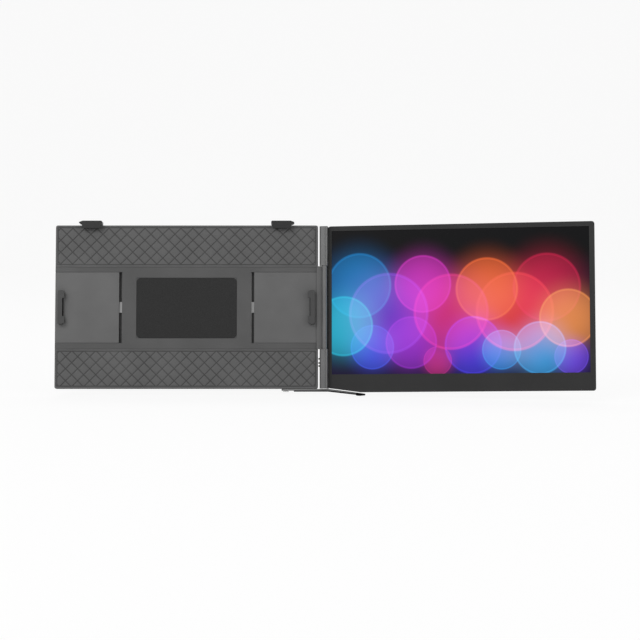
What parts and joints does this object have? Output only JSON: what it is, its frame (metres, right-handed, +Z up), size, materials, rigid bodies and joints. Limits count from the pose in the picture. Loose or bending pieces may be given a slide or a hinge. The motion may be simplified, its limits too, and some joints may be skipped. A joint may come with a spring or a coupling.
{
  "type": "laptop screen extender",
  "caption": "Back plate with sliding jaws and top clips for a laptop lid, and a monitor on a folding side hinge.",
  "frame": {"origin": "middle of the cushion face that the back of a laptop lid rests on", "axes": "+X to the right along the plate, towards the monitor; +Y to the back; +Z up. The plate leans back 10.25 degrees"},
  "size_m": [0.7992, 0.1206, 0.2623],
  "materials": {
    "textured_plastic": "fine moulded grain, dark grey",
    "panel_plastic": "satin, dark grey",
    "cushion_foam": "matt foam",
    "frame_steel": "zinc plated sheet",
    "screw_steel": "black zinc",
    "guide_nylon": "natural nylon",
    "arm_metal": "satin dark grey paint",
    "jaw_plastic": "satin, dark grey",
    "clip_plastic": "satin black paint",
    "soft_rubber": "matt black",
    "hinge_metal": "satin grey paint",
    "pin_steel": "ground steel",
    "bezel_plastic": "fine matt black-grey",
    "screen_glass": "lit liquid crystal panel under an anti-glare film",
    "tray_aluminium": "pressed sheet",
    "board_green": "solder mask",
    "speaker_plastic": "black",
    "cover_metal": "satin, dark grey",
    "port_metal": "nickel plated shell",
    "key_plastic": "black",
    "leg_metal": "satin grey paint",
    "stand_metal": "satin dark grey anodised"
  },
  "bodies": {
    "base": {"base_front_panel": "panel_plastic", "upper_grip_skin": "textured_plastic", "lower_grip_skin": "textured_plastic", "rest_cushion": "cushion_foam", "base_frame_plate": "frame_steel", "base_rear_cover": "cover_metal", "base_screws": "screw_steel", "arm_guide_strips": "guide_nylon", "leg_pivot_pin": "pin_steel", "leg_pivot_block": "frame_steel", "kickstand_ears": "frame_steel", "kickstand_pins": "pin_steel"},
    "left_arm": {"left_arm_plate": "arm_metal", "left_jaw": "jaw_plastic", "left_jaw_pad": "soft_rubber"},
    "right_arm": {"right_arm_plate": "arm_metal", "right_jaw": "jaw_plastic", "right_jaw_pad": "soft_rubber", "hinge_knuckle": "hinge_metal", "hinge_pins": "pin_steel", "hinge_friction_washers": "pin_steel"},
    "monitor": {"lower_hinge_barrel": "hinge_metal", "upper_hinge_barrel": "hinge_metal", "monitor_bezel": "bezel_plastic", "display_panel": "screen_glass", "backlight_tray": "tray_aluminium", "driver_board": "board_green", "speakers": "speaker_plastic", "monitor_rear_cover": "cover_metal", "usb_c_ports": "port_metal", "hdmi_port": "port_metal", "monitor_screws": "screw_steel", "hinge_leaves": "frame_steel", "lower_barrel_trim": "key_plastic", "upper_barrel_trim": "key_plastic"},
    "menu_key_up_body": {"menu_key_up": "key_plastic"},
    "menu_key_down_body": {"menu_key_down": "key_plastic"},
    "power_key_body": {"power_key": "key_plastic"},
    "left_clip": {"left_top_clip": "clip_plastic", "left_clip_pad": "soft_rubber"},
    "right_clip": {"right_top_clip": "clip_plastic", "right_clip_pad": "soft_rubber"},
    "leg": {"support_leg": "leg_metal", "leg_sole": "soft_rubber"},
    "stand": {"kickstand": "stand_metal", "kickstand_foot_strip": "soft_rubber"}
  },
  "joints": [
    {"name": "left_arm_slide", "type": "slide", "parent": "base", "child": "left_arm", "axis": [-1, 0, 0], "range_m": [-0.003, 0.028]},
    {"name": "right_arm_slide", "type": "slide", "parent": "base", "child": "right_arm", "axis": [1, 0, 0], "range_m": [-0.003, 0.028]},
    {"name": "monitor_fold", "type": "hinge", "parent": "right_arm", "child": "monitor", "pos_m": [0.2063, -0.00514, 0.00022], "axis": [0, -0.1779, -0.984], "range_deg": [-25, 170]},
    {"name": "left_clip_slide", "type": "slide", "parent": "base", "child": "left_clip", "axis": [0, 0.1779, 0.984], "range_m": [0, 0.025]},
    {"name": "right_clip_slide", "type": "slide", "parent": "base", "child": "right_clip", "axis": [0, 0.1779, 0.984], "range_m": [0, 0.025]},
    {"name": "leg_swing", "type": "hinge", "parent": "base", "child": "leg", "pos_m": [0.1485, -0.01672, -0.12167], "axis": [0, 0.1779, 0.984], "range_deg": [0, 180]},
    {"name": "kickstand_swing", "type": "hinge", "parent": "base", "child": "stand", "pos_m": [0, 0.01147, 0.00555], "axis": [1, 0, 0], "range_deg": [0, 60]},
    {"name": "menu_key_up_press", "type": "slide", "parent": "monitor", "child": "menu_key_up_body", "axis": [0.9864, -0.1616, 0.0292], "range_m": [0, 0.0008], "stiffness_N_per_m": 500},
    {"name": "menu_key_down_press", "type": "slide", "parent": "monitor", "child": "menu_key_down_body", "axis": [0.9864, -0.1616, 0.0292], "range_m": [0, 0.0008], "stiffness_N_per_m": 500},
    {"name": "power_key_press", "type": "slide", "parent": "monitor", "child": "power_key_body", "axis": [0.9864, -0.1616, 0.0292], "range_m": [0, 0.0008], "stiffness_N_per_m": 500}
  ]
}
